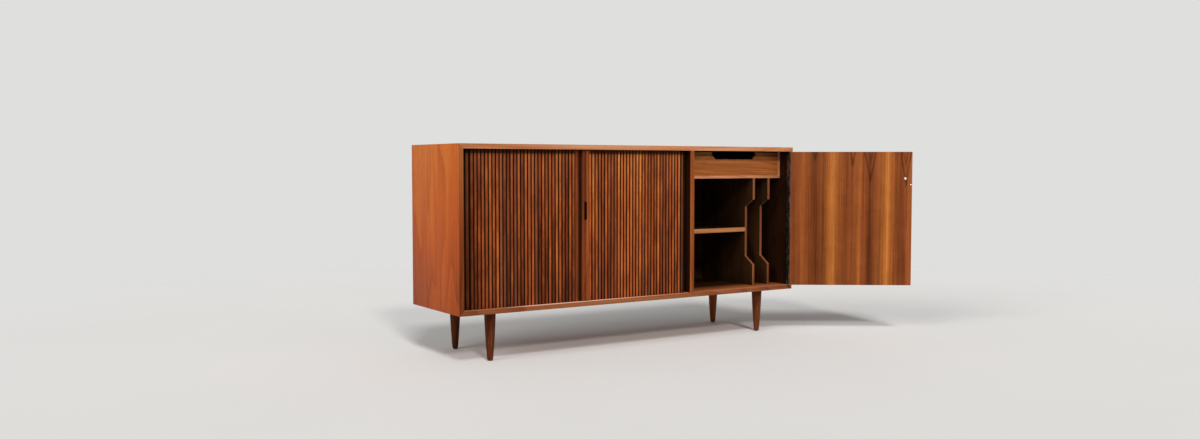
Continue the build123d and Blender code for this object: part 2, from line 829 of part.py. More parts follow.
# turned knob on the outer face, held by a screw through the door and a domed nut inside
knob_x = door_free_x + knob_from_edge
with BuildPart() as door_knob:
    with BuildSketch(Plane.XZ.offset(0)) as knob_section:
        with BuildLine():
            Polyline((0, 0), (knob_neck_radius, 0))
            Spline(
                (knob_neck_radius, 0),
                (knob_neck_radius * 0.9, knob_length * 0.35),
                (knob_radius, knob_length * 0.75),
                (knob_radius * 0.7, knob_length * 0.96),
                (0, knob_length),
                tangents=((0, 1), (-1, 0)),
            )
            Line((0, knob_length), (0, 0))
        make_face()
    revolve(axis=Axis.Z)
    with Locations((0, 0, knob_screw_in_knob / 2)):
        Cylinder(knob_screw_radius + screw_clearance, knob_screw_in_knob, mode=Mode.SUBTRACT)
knob_on_door = Location((knob_x, y_front, z_knob)) * Location((0, 0, 0), (90, 0, 0))
save_on_door(door_knob.part.moved(knob_on_door), "door_knob")

with BuildPart() as knob_screw:
    screw_inner = door_thickness + cap_washer + cap_nut_height / 2
    with BuildSketch(behind_front(screw_inner)):
        with Locations((knob_x, z_knob)):
            Circle(knob_screw_radius)
    extrude(amount=screw_inner + knob_screw_in_knob - knob_screw_end_gap)
save_on_door(knob_screw.part, "knob_screw")

with BuildPart() as knob_nut:
    with BuildSketch(behind_front(door_thickness)):
        with Locations((knob_x, z_knob)):
            Circle(cap_washer_radius)
    extrude(amount=-cap_washer)
    with BuildSketch(behind_front(door_thickness + cap_washer)):
        with Locations((knob_x, z_knob)):
            Circle(cap_nut_radius)
    extrude(amount=-cap_nut_height)
    fillet(knob_nut.faces().sort_by(Axis.Y)[-1].edges(), cap_nut_radius * 0.8)
    with BuildSketch(behind_front(door_thickness)):
        with Locations((knob_x, z_knob)):
            Circle(knob_screw_radius + screw_clearance)
    extrude(amount=-cap_washer - cap_nut_height / 2 - screw_clearance, mode=Mode.SUBTRACT)
save_on_door(knob_nut.part, "knob_nut")

# bullet catch in the door's free edge, and its strike in the divider
with BuildPart() as catch_sleeve:
    with BuildSketch(Plane.YZ.offset(door_free_x)):
        with Locations((y_door_middle, z_catch)):
            Circle(catch_sleeve_radius)
    extrude(amount=catch_sleeve_length)
    with BuildSketch(Plane.YZ.offset(door_free_x)):
        with Locations((y_door_middle, z_catch)):
            Circle(catch_bore)
    extrude(amount=catch_bore_depth, mode=Mode.SUBTRACT)
save_on_door(catch_sleeve.part, "catch_sleeve")

with BuildPart() as catch_bullet:
    with BuildSketch(Plane.YZ.offset(door_free_x - bullet_out)):
        with Locations((y_door_middle, z_catch)):
            Circle(bullet_radius)
    extrude(amount=bullet_length)
    fillet(catch_bullet.faces().sort_by(Axis.X)[0].edges(), bullet_out)
save_on_door(catch_bullet.part, "catch_bullet")

# round-head screw on the inner face that clamps the sleeve
with BuildPart() as catch_screw:
    catch_screw_place = (door_free_x + catch_screw_from_edge, z_catch)
    with BuildSketch(behind_front(door_thickness)):
        with Locations(catch_screw_place):
            Circle(catch_screw_head_radius)
    extrude(amount=-catch_screw_head_height)
    fillet(catch_screw.faces().sort_by(Axis.Y)[-1].edges(), catch_screw_head_height * 0.9)
    with BuildSketch(behind_front(door_thickness + catch_screw_head_height)):
        with Locations(catch_screw_place):
            Rectangle(2 * catch_screw_head_radius, catch_screw_slot)
    extrude(amount=catch_screw_head_height / 2, mode=Mode.SUBTRACT)
    with BuildSketch(behind_front(door_thickness)):
        with Locations(catch_screw_place):
            Circle(screw_shank_radius)
    extrude(amount=door_thickness / 2 - catch_sleeve_radius)
save_on_door(catch_screw.part, "catch_screw")

with BuildPart() as catch_strike:
    box_between(
        (divider_right - strike_thickness, divider_right),
        (y_door_middle - strike_width / 2, y_door_middle + strike_width / 2),
        (z_catch - strike_height / 2, z_catch + strike_height / 2),
    )
    with BuildSketch(Plane.YZ.offset(divider_right)):
        with Locations((y_door_middle, z_catch)):
            Circle(strike_hole_radius)
    extrude(amount=-strike_thickness, mode=Mode.SUBTRACT)
save(catch_strike.part, "catch_strike")

# ---- legs ----

leg_names = ("leg_front_left", "leg_back_left", "leg_front_right", "leg_back_right")
for (x, y), label in zip(leg_places, leg_names):
    with BuildPart() as leg:
        with BuildSketch(Plane(origin=(x, y, 0), x_dir=(1, 0, 0), z_dir=(0, -1, 0))) as leg_section:
            with BuildLine():
                middle = (glide_height + leg_height) / 2
                middle_radius = (leg_foot_radius + leg_top_radius) / 2 + leg_swell
                Line((0, glide_height), (leg_foot_radius, glide_height))
                ThreePointArc(
                    (leg_foot_radius, glide_height), (middle_radius, middle), (leg_top_radius, leg_height)
                )
                Polyline((leg_top_radius, leg_height), (0, leg_height), (0, glide_height))
            make_face()
            foot_corner = leg_section.vertices().group_by(Axis.Z)[0].sort_by(Axis.X)[-1]
            fillet(foot_corner, leg_foot_fillet)
        revolve(axis=Axis((x, y, 0), (0, 0, 1)))
        with Locations((x, y, leg_height - hanger_in_leg / 2)):
            Cylinder(hanger_radius + hanger_clearance, hanger_in_leg, mode=Mode.SUBTRACT)
        with Locations((x, y, glide_height + glide_nail_length / 2)):
            Cylinder(glide_nail_radius + hanger_clearance, glide_nail_length, mode=Mode.SUBTRACT)
    save(leg.part, label)

with BuildPart() as hanger_bolts:
    bolt_length = hanger_in_leg + hanger_in_board
    with Locations(*[(x, y, leg_height - hanger_in_leg + bolt_length / 2) for x, y in leg_places]):
        Cylinder(hanger_radius, bolt_length)
save(hanger_bolts.part, "hanger_bolts")

with BuildPart() as glides:
    with Locations(*[(x, y, glide_height / 2) for x, y in leg_places]):
        Cylinder(glide_radius, glide_height)
    chamfer(glides.edges().filter_by(GeomType.CIRCLE).group_by(Axis.Z)[0], glide_edge)
    with Locations(*[(x, y, glide_height + glide_nail_length / 2) for x, y in leg_places]):
        Cylinder(glide_nail_radius, glide_nail_length)
save(glides.part, "glides")
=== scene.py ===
import json
from math import atan2, cos, pi, radians, sin
from random import Random

import bmesh
import bpy
from mathutils import Matrix, Vector


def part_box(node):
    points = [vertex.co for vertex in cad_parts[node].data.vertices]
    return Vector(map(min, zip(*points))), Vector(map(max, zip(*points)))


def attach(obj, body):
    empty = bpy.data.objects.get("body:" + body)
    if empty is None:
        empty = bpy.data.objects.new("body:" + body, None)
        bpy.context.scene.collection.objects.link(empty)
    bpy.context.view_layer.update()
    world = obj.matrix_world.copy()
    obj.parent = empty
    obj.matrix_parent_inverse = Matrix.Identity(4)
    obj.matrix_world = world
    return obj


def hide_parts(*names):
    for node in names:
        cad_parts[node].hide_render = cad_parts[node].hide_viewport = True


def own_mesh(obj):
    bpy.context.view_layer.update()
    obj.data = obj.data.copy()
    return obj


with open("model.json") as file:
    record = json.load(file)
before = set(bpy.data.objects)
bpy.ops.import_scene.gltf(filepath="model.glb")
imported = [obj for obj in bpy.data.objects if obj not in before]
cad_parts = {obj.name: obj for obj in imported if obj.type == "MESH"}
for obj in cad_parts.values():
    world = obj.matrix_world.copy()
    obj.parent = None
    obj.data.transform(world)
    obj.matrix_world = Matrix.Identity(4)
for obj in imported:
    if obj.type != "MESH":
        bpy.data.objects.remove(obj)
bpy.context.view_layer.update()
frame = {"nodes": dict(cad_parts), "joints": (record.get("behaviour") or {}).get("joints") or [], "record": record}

# Tambour door cabinet: walnut case, two slatted curtains, an open hinged door.
# Metres; X to the right along the front, Y to the back, Z up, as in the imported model.

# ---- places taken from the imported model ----

case_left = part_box("left_side")[0].x
case_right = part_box("right_side")[1].x
case_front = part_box("left_side")[0].y
case_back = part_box("left_side")[1].y
case_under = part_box("bottom_board")[0].z
case_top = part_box("top_board")[1].z
board = 0.018
bay_left = case_left + board
bay_right = case_right - board
bay_floor = case_under + board
bay_ceiling = case_top - board
bay_middle = (bay_floor + bay_ceiling) / 2
inner_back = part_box("back_panel")[0].y
divider_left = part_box("centre_divider")[0].x

slat_pitch = 0.0146
slat_width = 0.0143
slat_thickness = 0.008
slat_bevel = 0.0032
slat_clearance = 0.0005  # above and below each slat's shoulders
tongue_inset = 0.0018
tongue_length = 0.0082
front_slats = 30
tail_slats = 6  # those on the bend and along the side
canvas_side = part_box("tambour_left_slats")[1].y
show_side = canvas_side - slat_thickness
canvas_gap = 0.0006  # from the slats' backs to the middle of the canvas
canvas_margin = 0.0105  # from the floor and ceiling of the bay
canvas_thickness = 0.0009
bend_radius = 0.024
bend_centre = canvas_side + bend_radius
bend_inset = 0.035  # from the wall of the bay to the start of the bend
bend_start = {"left": bay_left + bend_inset, "right": divider_left - bend_inset}
first_slat = {
    "left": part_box("tambour_left_slats")[1].x - slat_width / 2,
    "right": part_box("tambour_right_slats")[0].x + slat_width / 2,
}
outward = {"left": -1, "right": 1}  # the way each curtain opens

joints = {joint["name"]: joint for joint in frame["joints"]}
hinge_place = Vector(joints["door_hinge"]["pos_m"])
door_turn = radians(144.7)
door_along = Vector((-cos(door_turn), -sin(door_turn), 0))  # from the hinge to the free edge
door_width = 0.5146
door_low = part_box("door_panel")[0].z
door_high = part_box("door_panel")[1].z

body_of_node = {
    node: body for body, nodes in frame["record"]["behaviour"]["bodies"].items() for node in nodes
}


# ---- shader arithmetic ----


def paint(code):
    """A colour written as #rrggbb, as the shader wants it."""
    linear = []
    for start in (1, 3, 5):
        part = int(code[start : start + 2], 16) / 255
        linear.append(part / 12.92 if part <= 0.04045 else ((part + 0.055) / 1.055) ** 2.4)
    return (*linear, 1)


class Value:
    """An output of a finish's nodes. Arithmetic on it adds Math nodes."""

    def __init__(self, finish, socket):
        self.finish = finish
        self.socket = socket

    def out(self, name):
        """Another output of the same node."""
        return Value(self.finish, self.socket.node.outputs[name])

    def math(self, operation, first, second=0.0):
        return self.finish.node("ShaderNodeMath", {"operation": operation}, {0: first, 1: second})

    def __add__(self, other):
        return self.math("ADD", self, other)

    def __radd__(self, other):
        return self.math("ADD", other, self)

    def __sub__(self, other):
        return self.math("SUBTRACT", self, other)

    def __rsub__(self, other):
        return self.math("SUBTRACT", other, self)

    def __mul__(self, other):
        return self.math("MULTIPLY", self, other)

    def __rmul__(self, other):
        return self.math("MULTIPLY", other, self)

    def __truediv__(self, other):
        return self.math("DIVIDE", self, other)

    def __pow__(self, other):
        return self.math("POWER", self, other)

    def __abs__(self):
        return self.math("ABSOLUTE", self)

    def sine(self):
        return self.math("SINE", self)

    def fraction(self):
        return self.math("FRACT", self)

    def whole(self):
        return self.math("FLOOR", self)

    def larger(self, other):
        return self.math("MAXIMUM", self, other)


class Finish:
    """The nodes of a material, or of the world, being mixed."""

    def __init__(self, name, world=False):
        kind = bpy.data.worlds if world else bpy.data.materials
        self.owner = kind.new(name)
        self.owner.use_nodes = True
        self.tree = self.owner.node_tree
        self.tree.nodes.clear()

    def node(self, kind, settings, sockets, output=0):
        """Any node: its settings go in first, then the values or links of its sockets."""
        node = self.tree.nodes.new(kind)
        for name, setting in settings.items():
            if name == "stops":
                self.set_stops(node.color_ramp, setting)
            else:
                setattr(node, name, setting)
        for name, value in sockets.items():
            if isinstance(value, Value):
                self.tree.links.new(value.socket, node.inputs[name])
            else:
                node.inputs[name].default_value = value
        return Value(self, node.outputs[output])

    def set_stops(self, ramp, stops):
        while len(ramp.elements) < len(stops):
            ramp.elements.new(0.5)
        for element, (position, code) in zip(ramp.elements, stops):
            element.position = position
            element.color = paint(code)

    def place(self, shift=(0, 0, 0)):
        """Object coordinates, moved so that each piece shows another part of the log."""
        where = self.node("ShaderNodeTexCoord", {}, {}, "Object")
        return self.node("ShaderNodeMapping", {}, {"Vector": where, "Location": shift})

    def attribute(self, name, output):
        return self.node("ShaderNodeAttribute", {"attribute_name": name}, {}, output)

    def parts(self, vector):
        x = self.node("ShaderNodeSeparateXYZ", {}, {0: vector})
        return x, x.out("Y"), x.out("Z")

    def joined(self, x, y, z):
        return self.node("ShaderNodeCombineXYZ", {}, {0: x, 1: y, 2: z})

    def noise(self, x, y, z, detail=2.0, roughness=0.5):
        """Soft noise, about 0 to 1, one wave for each 1 that a coordinate moves."""
        sockets = {
            "Vector": self.joined(x, y, z),
            "Scale": 1.0,
            "Detail": detail,
            "Roughness": roughness,
        }
        return self.node("ShaderNodeTexNoise", {}, sockets)

    def ramp(self, value, stops):
        return self.node("ShaderNodeValToRGB", {"stops": stops}, {0: value})

    def rise(self, value, low, high):
        """0 below low and 1 above high, smooth between them; low may be the larger."""
        sockets = {"Value": value, "From Min": low, "From Max": high}
        return self.node("ShaderNodeMapRange", {"interpolation_type": "SMOOTHSTEP"}, sockets)

    def blend(self, share, first, second, mode="MIX"):
        """Colour first with a share of colour second."""
        settings = {"data_type": "RGBA", "blend_type": mode}
        return self.node("ShaderNodeMix", settings, {0: share, 6: first, 7: second}, 2)

    def surface(self, colour, roughness, height, relief, strength, **constants):
        """The shader: colour, roughness and bump may vary, all else is constant."""
        bump = {"Strength": strength, "Distance": relief, "Height": height}
        sockets = {
            "Base Color": colour,
            "Roughness": roughness,
            "Normal": self.node("ShaderNodeBump", {}, bump),
        }
        sockets.update({name.replace("_", " "): value for name, value in constants.items()})
        return self.finished(self.node("ShaderNodeBsdfPrincipled", {}, sockets))

    def finished(self, shader, kind="ShaderNodeOutputMaterial"):
        """Lead the shader to the output, and give back the material or the world."""
        output = self.tree.nodes.new(kind)
        self.tree.links.new(shader.socket, output.inputs["Surface"])
        return self.owner


# ---- walnut ----

# Coordinates are multiplied by waves per metre: many across the grain, few along it.


def grain_axes(finish, place, along):
    """Two coordinates across the grain and the one along it."""
    x, y, z = finish.parts(place)
    return {"X": (y, z, x), "Y": (x, z, y), "Z": (x, y, z)}[along]


def fine_streaks(finish, across, depth, length):
    return finish.noise(across, depth, length, detail=4.0, roughness=0.62)


def open_pores(finish, across, depth, length):
    """Short dark pores, each a few tenths of a millimetre wide."""
    specks = finish.noise(across * 1500, depth * 1500, length * 36, detail=1.0)
    return finish.rise(specks, 0.60, 0.72)


def walnut_grain(finish, place, along, figure=1.0):
    """Tone, streaks and pores of walnut, each about 0 to 1; figure is how bold its rings are."""
    across, depth, length = grain_axes(finish, place, along)
    broad = finish.noise(across * 9, depth * 9, length * 0.9)
    sway = (finish.noise(across * 5, depth * 5, length * 1.6, detail=1.0) - 0.5) * 0.03
    cut = finish.noise((across + sway) * 3.6, depth * 3.6, length * 0.42, detail=1.5, roughness=0.4)
    ring = (cut * (26 * figure)).fraction()
    late_wood = ring**2.6 * finish.rise(ring, 1.0, 0.93)
    streaks = fine_streaks(finish, across * 230, depth * 230, length * 2.6)
    tone = 0.56 + (broad - 0.5) * 0.9 + (streaks - 0.5) * 0.75 - late_wood * (0.22 * figure)
    return tone, streaks, open_pores(finish, across, depth, length)


def oiled(finish, colour, streaks, pores, roughness=0.46, wear_and_highlight="#d9a070"):
    """Satin oil over open pores, with the arrises painted paler: partly wear, partly a painted highlight."""
    arris = finish.attribute("arris", "Fac")
    colour = finish.blend(pores * 0.45, colour, paint("#1d0d06"))
    # the arrises: partly wear, partly a painted highlight
    colour = finish.blend(arris * 0.55, colour, paint(wear_and_highlight))
    shine = roughness + (streaks - 0.5) * 0.22 + pores * 0.18
    height = streaks * 0.4 - pores
    gloss = {"Specular_IOR_Level": 0.08, "Specular_Tint": paint("#ffcf9c")}
    return finish.surface(colour, shine, height, relief=0.00016, strength=0.5, **gloss)


case_tones = [(0.12, "#7a330c"), (0.45, "#aa4b13"), (0.62, "#bb5617"), (0.95, "#d67427")]
edge_tones = [(0.15, "#925536"), (0.5, "#c27c52"), (0.9, "#dca47a")]
shelf_edge_tones = [(0.15, "#804828"), (0.5, "#ae6d42"), (0.9, "#c98f5f")]
dark_edge_tones = [(0.15, "#562c18"), (0.5, "#7a4124"), (0.9, "#9e643e")]
side_edge_tones = [(0.15, "#572812"), (0.5, "#7d3c1b"), (0.9, "#a25c32")]
# painted shade: the tones of the faces inside the case, where little light reaches
painted_shade_tones = [(0.15, "#0b0603"), (0.5, "#180c05"), (0.9, "#28150a")]
# painted shade: the near-black tones of the faces inside the bays
bay_shade_tones = [(0.15, "#1e120a"), (0.5, "#301d0e"), (0.9, "#452a15")]
drawer_tones = [(0.12, "#7c401c"), (0.45, "#ac6231"), (0.62, "#bf713b"), (0.95, "#d89657")]
floor_tones = [(0.12, "#642f15"), (0.45, "#8f4c26"), (0.62, "#a15a2f"), (0.95, "#bd7c47")]
# painted light: the left legs in shaded tones, the right legs in lit ones
shaded_left_leg_tones = [(0.12, "#28130a"), (0.5, "#472112"), (0.92, "#7a3f1e")]
lit_right_leg_tones = [(0.12, "#3a1c0e"), (0.5, "#66341c"), (0.92, "#9c5830")]
liner_tones = [(0.15, "#3a2012"), (0.5, "#593119"), (0.9, "#744524")]
carcass_tones = [(0.12, "#8a5a34"), (0.5, "#b2804f"), (0.92, "#cda06c")]
lead_tones = [(0.1, "#3a1b0f"), (0.4, "#76381d"), (0.6, "#954b26"), (0.92, "#c07338")]
slat_tones = [
    (0.08, "#3c1b10"),
    (0.3, "#6c3119"),
    (0.5, "#984a23"),
    (0.7, "#c0662d"),
    (0.95, "#e19044"),
]
# one leaf of the door's veneer, from its left to its right
leaf_tones = [
    (0.00, "#bb6630"),
    (0.06, "#984f28"),
    (0.18, "#8a4724"),
    (0.28, "#924d27"),
    (0.38, "#a35b2c"),
    (0.45, "#bf6f32"),
    (0.50, "#cf803c"),
    (0.56, "#bb6931"),
    (0.65, "#995227"),
    (0.75, "#914b26"),
    (0.85, "#a0552d"),
    (0.94, "#b46332"),
    (1.00, "#bb6630"),
]


# ---- finishes of the wooden pieces ----


def board_finish(
    name, along, shift, edges=edge_tones, tones=case_tones, shade_by=0.012, painted_light_rise=0.0, painted_sheen=0.0
):
    """Walnut of a case board, with its front edge in tones of its own.

    Inside the case it has painted shade, full from the given depth behind the front. Painted light
    makes it lighter upwards by the given rise for each metre, and a painted sheen pales a strip along
    the front of its top.
    """
    finish = Finish(name)
    tone, streaks, pores = walnut_grain(finish, finish.place(shift), along)
    x, y, z = finish.parts(finish.place())
    # painted light: the board grows lighter upwards, as if lit from above
    if painted_light_rise:
        painted_light_middle = 0.44
        tone = tone + (z - painted_light_middle) * painted_light_rise
    colour = finish.ramp(tone, tones)
    edge = finish.rise(y, case_front + 0.0016, case_front + 0.0009)
    colour = finish.blend(edge, colour, finish.ramp(tone, edges))
    skin = 0.0006  # the painted shade starts this far under the inner faces
    right_of_left = finish.rise(x, bay_left - skin, bay_left)
    left_of_right = finish.rise(x, bay_right + skin, bay_right)
    over_floor = finish.rise(z, bay_floor - skin, bay_floor)
    under_ceiling = finish.rise(z, bay_ceiling + skin, bay_ceiling)
    behind_front = finish.rise(y, case_front + shade_by * 0.12, case_front + shade_by)
    before_back = finish.rise(y, inner_back + 0.002, inner_back)
    across = right_of_left * left_of_right
    level = over_floor * under_ceiling
    # painted shade on the faces inside the case, full from the given depth behind the front
    inside = across * level * behind_front * before_back
    most_shade = 0.992
    colour = finish.blend(inside * most_shade, colour, finish.ramp(tone, painted_shade_tones))
    # painted sheen: a pale strip along the front of the top, fading out towards both ends
    if painted_sheen:
        strip = finish.rise(y, case_front + 0.018, case_front + 0.015)
        top = finish.rise(z, bay_floor - 0.0007, bay_floor - 0.0003)
        most = finish.rise(x, 0.02, 0.16) * finish.rise(x, 0.95, 0.3)
        least_sheen = 0.15
        share = strip * top * (most * painted_sheen + least_sheen)
        colour = finish.blend(share, colour, paint("#f0c4b4"))
    return oiled(finish, colour, streaks, pores)


def plain_finish(name, along, shift, tones, figure=1.0, roughness=0.38):
    """Walnut or drawer wood in one range of tones."""
    finish = Finish(name)
    tone, streaks, pores = walnut_grain(finish, finish.place(shift), along, figure)
    return oiled(finish, finish.ramp(tone, tones), streaks, pores, roughness)


def lipped_finish(name, along, shift, front, tones=painted_shade_tones, edges=edge_tones):
    """An inner board whose front edge is lipped with other wood; by default its faces have painted shade."""
    finish = Finish(name)
    tone, streaks, pores = walnut_grain(finish, finish.place(shift), along)
    y = finish.parts(finish.place())[1]
    edge = finish.rise(y, front + 0.0022, front + 0.0012)
    colour = finish.blend(edge, finish.ramp(tone, tones), finish.ramp(tone, edges))
    return oiled(finish, colour, streaks, pores)


def record_board_finish(name, shift):
    """A dark upright board whose shaped front edge shows the paler core.

    Its faces look sideways, in the dark tones of the bay's painted shade; parts of the edge that look down get the
    same painted shade.
    """
    finish = Finish(name)
    tone, streaks, pores = walnut_grain(finish, finish.place(shift), "Z")
    facing = finish.parts(finish.node("ShaderNodeTexCoord", {}, {}, "Normal"))
    sideways = facing[0]
    upward = facing[2]
    # the edge tones show where the edge looks sideways; where it looks down it gets painted shade
    edge = finish.rise(sideways * sideways, 0.6, 0.4) * finish.rise(upward, -0.35, -0.15)
    colour = finish.blend(edge, finish.ramp(tone, bay_shade_tones), finish.ramp(tone, dark_edge_tones))
    return oiled(finish, colour, streaks, pores)


def drawer_face_finish(name, shift):
    """Drawer wood with painted light: lighter upwards, with a painted shadow of the case board along the top."""
    finish = Finish(name)
    tone, streaks, pores = walnut_grain(finish, finish.place(shift), "X")
    x, _, z = finish.parts(finish.place())
    low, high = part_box("drawer_front")
    middle = (low + high) / 2
    # painted light: the face grows lighter upwards
    lighter_upwards = 4.6
    darker_rightwards = 0.25
    tone = tone + 0.05 + (z - middle.z) * lighter_upwards - (x - middle.x) * darker_rightwards
    # painted shadow of the case board along the top
    painted_top_shadow = finish.rise(z, high.z - 0.021, high.z - 0.015)
    colour = finish.blend(painted_top_shadow * 0.72, finish.ramp(tone, drawer_tones), paint("#2c150b"))
    return oiled(finish, colour, streaks, pores, roughness=0.38)


def door_finish(name):
    """Slip-matched veneer: golden sapwood and dark cathedrals that repeat leaf by leaf."""
    finish = Finish(name)
    x, y, z = finish.parts(finish.place())
    along = (x - hinge_place.x) * door_along.x + (y - hinge_place.y) * door_along.y
    level = (z - door_low) / (door_high - door_low)
    sway = (finish.noise(along * 6, 0.0, z * 2.1) - 0.5) * 0.09
    first_joint = 0.127  # both in door widths
    leaf_width = 0.447
    leaf = (along / door_width - first_joint) / leaf_width + 1
    number = leaf.whole()
    spot = leaf.fraction() + sway
    colour = finish.ramp(spot, leaf_tones)
    ragged = finish.noise(along * 48, 0.0, z * 3.6, detail=3.0) - 0.5
    patch = finish.rise(finish.noise(along * 5, 0.0, z * 2.3), 0.42, 0.66)
    # two cathedrals in each leaf: their middle, their tip in door heights, how much lower
    # the tip is in each next leaf, and how wide they spread
    for middle, tip, drift, wide in ((0.175, 1.02, 0.16, 0.125), (0.84, 0.95, 0.14, 0.11)):
        side = ((spot - middle) * (spot - middle) + 0.0004) ** 0.5
        band = finish.rise(side, 0.12, 0.02) * patch * 0.28
        colour = finish.blend(band, colour, paint("#4a2610"))
        depth = (level - tip + number * drift) / 0.3 - side / wide + ragged * 0.55
        line = (depth * 2.3).fraction()
        ring = finish.rise(line, 0.0, 0.4) * finish.rise(line, 1.0, 0.4)
        dark = ring * finish.rise(depth, 0.0, 0.12)
        colour = finish.blend(dark * finish.rise(depth, 1.1, 0.3) * 0.62, colour, paint("#3a1c0d"))
    streaks = fine_streaks(finish, along * 260, y * 9, z * 2.4)
    bands = finish.noise(along * 55, y * 9, z * 0.8)
    figure = finish.noise(along * 16, y * 9, z * 14)
    shade = 0.5 + (streaks - 0.5) * 0.9 + (bands - 0.5) * 0.8 + (figure - 0.5) * 0.25
    lighter_outwards = 0.2
    shade = shade + (along / door_width - 0.5) * lighter_outwards
    shaded = finish.ramp(shade, [(0.1, "#5a5a5a"), (0.5, "#c0c0c0"), (0.9, "#ffffff")])
    colour = finish.blend(0.85, colour, shaded, "MULTIPLY")
    return oiled(finish, colour, streaks, open_pores(finish, along, y, z))


def slat_finish(name):
    """Slats cut from many boards: each has its own tone; the grain follows the slat."""
    finish = Finish(name)
    height = finish.parts(finish.place())[2]
    x, y, z = finish.parts(finish.attribute("slat_place", "Vector"))
    streaks = fine_streaks(finish, x * 260, y * 260, z * 2.4)
    mottle = finish.noise(x * 40, y * 40, z * 11, detail=2.5, roughness=0.55)
    drift = finish.noise(x * 9, y * 9, z * 3.2, detail=1.0)
    tone = finish.attribute("slat_tone", "Fac")
    tone = tone + (streaks - 0.5) * 0.5 + (mottle - 0.5) * 0.6 + (drift - 0.5) * 0.45
    lighter_upwards = 0.38
    tone = tone + (height - bay_middle) * lighter_upwards
    colour = finish.ramp(tone, slat_tones)
    grey = finish.rise(finish.noise(x * 2.1, y * 2.1, z * 1.3, detail=1.0), 0.5, 0.72)
    bleached = finish.rise(height, bay_middle, bay_ceiling)
    colour = finish.blend(grey * 0.4 + bleached * 0.16, colour, paint("#7c5240"))
    # painted shadow of the case board along the slats' upper ends
    painted_top_shadow = finish.rise(height, bay_ceiling - 0.019, bay_ceiling - 0.0145)
    colour = finish.blend(painted_top_shadow * 0.8, colour, paint("#170a05"))
    # painted shade in the grooves between slats and on the slats past the bend
    groove = finish.rise(finish.attribute("slat_depth", "Fac"), 0.0, 0.00025)
    colour = finish.blend(groove * 0.97, colour, paint("#0d0502"))
    pores = open_pores(finish, x, y, z)
    return oiled(finish, colour, streaks, pores, 0.42 + groove * 0.5, wear_and_highlight="#b8743c")


def lead_grain(name, shift, tone_shift):
    """The one board of a lead stile, before painted shade is put in its recesses."""
    finish = Finish(name)
    tone, streaks, pores = walnut_grain(finish, finish.place(shift), "Z", figure=0.7)
    return finish, finish.ramp(tone + tone_shift, lead_tones), streaks, pores


def left_lead_finish(name):
    """A lead stile with painted shade in its recessed lap, most of all at the joint."""
    finish, colour, streaks, pores = lead_grain(name, (0.5, 2.5, 0.3), tone_shift=-0.12)
    x, y, _ = finish.parts(finish.place())
    # painted shade in the recessed lap
    recess_shade = finish.rise(y, show_side + 0.0003, show_side + 0.0014)
    colour = finish.blend(recess_shade * 0.85, colour, paint("#140904"))
    lead_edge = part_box("tambour_left_lead")[0].x
    # painted shade along the joint with the last slat
    joint = finish.rise(x, lead_edge + 0.0026, lead_edge + 0.0014)
    colour = finish.blend(joint * 0.9, colour, paint("#140904"))
    return oiled(finish, colour, streaks, pores, wear_and_highlight="#9c5a30")


def right_lead_finish(name):
    """The wider lead stile, with painted shade in its flute and in its finger slot."""
    finish, colour, streaks, pores = lead_grain(name, (1.5, 0.5, 1.3), tone_shift=-0.14)
    x, y, z = finish.parts(finish.place())
    lead_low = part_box("tambour_right_lead")[0]
    # painted shade in the flute
    flute_shade = finish.rise(y, lead_low.y + 0.0012, lead_low.y + 0.0032)
    colour = finish.blend(flute_shade * 0.38, colour, paint("#2a1208"))
    # painted shade, near black, in and a little around the finger slot
    slot_shade = finish.rise(y, lead_low.y, lead_low.y + 0.0003)
    slot_middle = (lead_low.x + 0.013, bay_floor + 0.343)
    slot_half = (0.006, 0.034)
    for spot, middle, half in zip((x, z), slot_middle, slot_half):
        slot_shade = slot_shade * finish.rise(abs(spot - middle), half + 0.0012, half + 0.0004)
    colour = finish.blend(slot_shade * 0.95, colour, paint("#0a0402"))
    return oiled(finish, colour, streaks, pores, wear_and_highlight="#b8743c")


# ---- cloth, metal and nylon ----


def canvas_finish(name):
    """Coarse brown canvas, its weave laid out on the cloth as cut."""
    finish = Finish(name)
    x, y, z = finish.parts(finish.attribute("slat_place", "Vector"))
    uneven = finish.noise(x * 60, y * 60, z * 60, detail=3.0)
    thread = 5200  # radians per metre, so a thread each 0.6 mm
    warp = (x * thread + uneven * 3).sine()
    weft = (z * thread + uneven * 3).sine()
    weave = warp * weft * 0.5 + 0.5
    tone = weave * 0.5 + uneven * 0.5
    colour = finish.ramp(tone, [(0.15, "#2a1f15"), (0.5, "#57452f"), (0.9, "#7d6747")])
    return finish.surface(colour, 0.85 + uneven * 0.1, weave, relief=0.0003, strength=0.6)


def metal_finish(name, tones, roughness, scale=900):
    """Plated or dull metal with fine specks and rubbing marks."""
    finish = Finish(name)
    x, y, z = finish.parts(finish.place())
    specks = finish.noise(x * scale, y * scale, z * scale * 0.4, detail=3.0, roughness=0.7)
    cloud = finish.noise(x * 70, y * 70, z * 40)
    colour = finish.ramp(specks * 0.6 + cloud * 0.4, tones)
    shine = roughness + (specks - 0.5) * 0.3 + (cloud - 0.5) * 0.15
    return finish.surface(colour, shine, specks, relief=0.00005, strength=0.25, Metallic=1.0)


def nylon_finish(name):
    """Near-black nylon, scuffed by the floor."""
    finish = Finish(name)
    x, y, z = finish.parts(finish.place())
    grain = finish.noise(x * 800, y * 800, z * 800, detail=3.0)
    scuff = finish.noise(x * 160, y * 160, z * 400)
    colour = finish.ramp(scuff, [(0.3, "#15120f"), (0.7, "#2c2723")])
    shine = 0.5 + (grain - 0.5) * 0.3
    return finish.surface(colour, shine, grain, relief=0.0001, strength=0.3)


# ---- modelling helpers ----


def deselect():
    if bpy.context.mode != "OBJECT":
        bpy.ops.object.mode_set(mode="OBJECT")
    bpy.ops.object.select_all(action="DESELECT")


def work_on(piece):
    """Make a piece the only selected and active one."""
    deselect()
    piece.select_set(True)
    bpy.context.view_layer.objects.active = piece


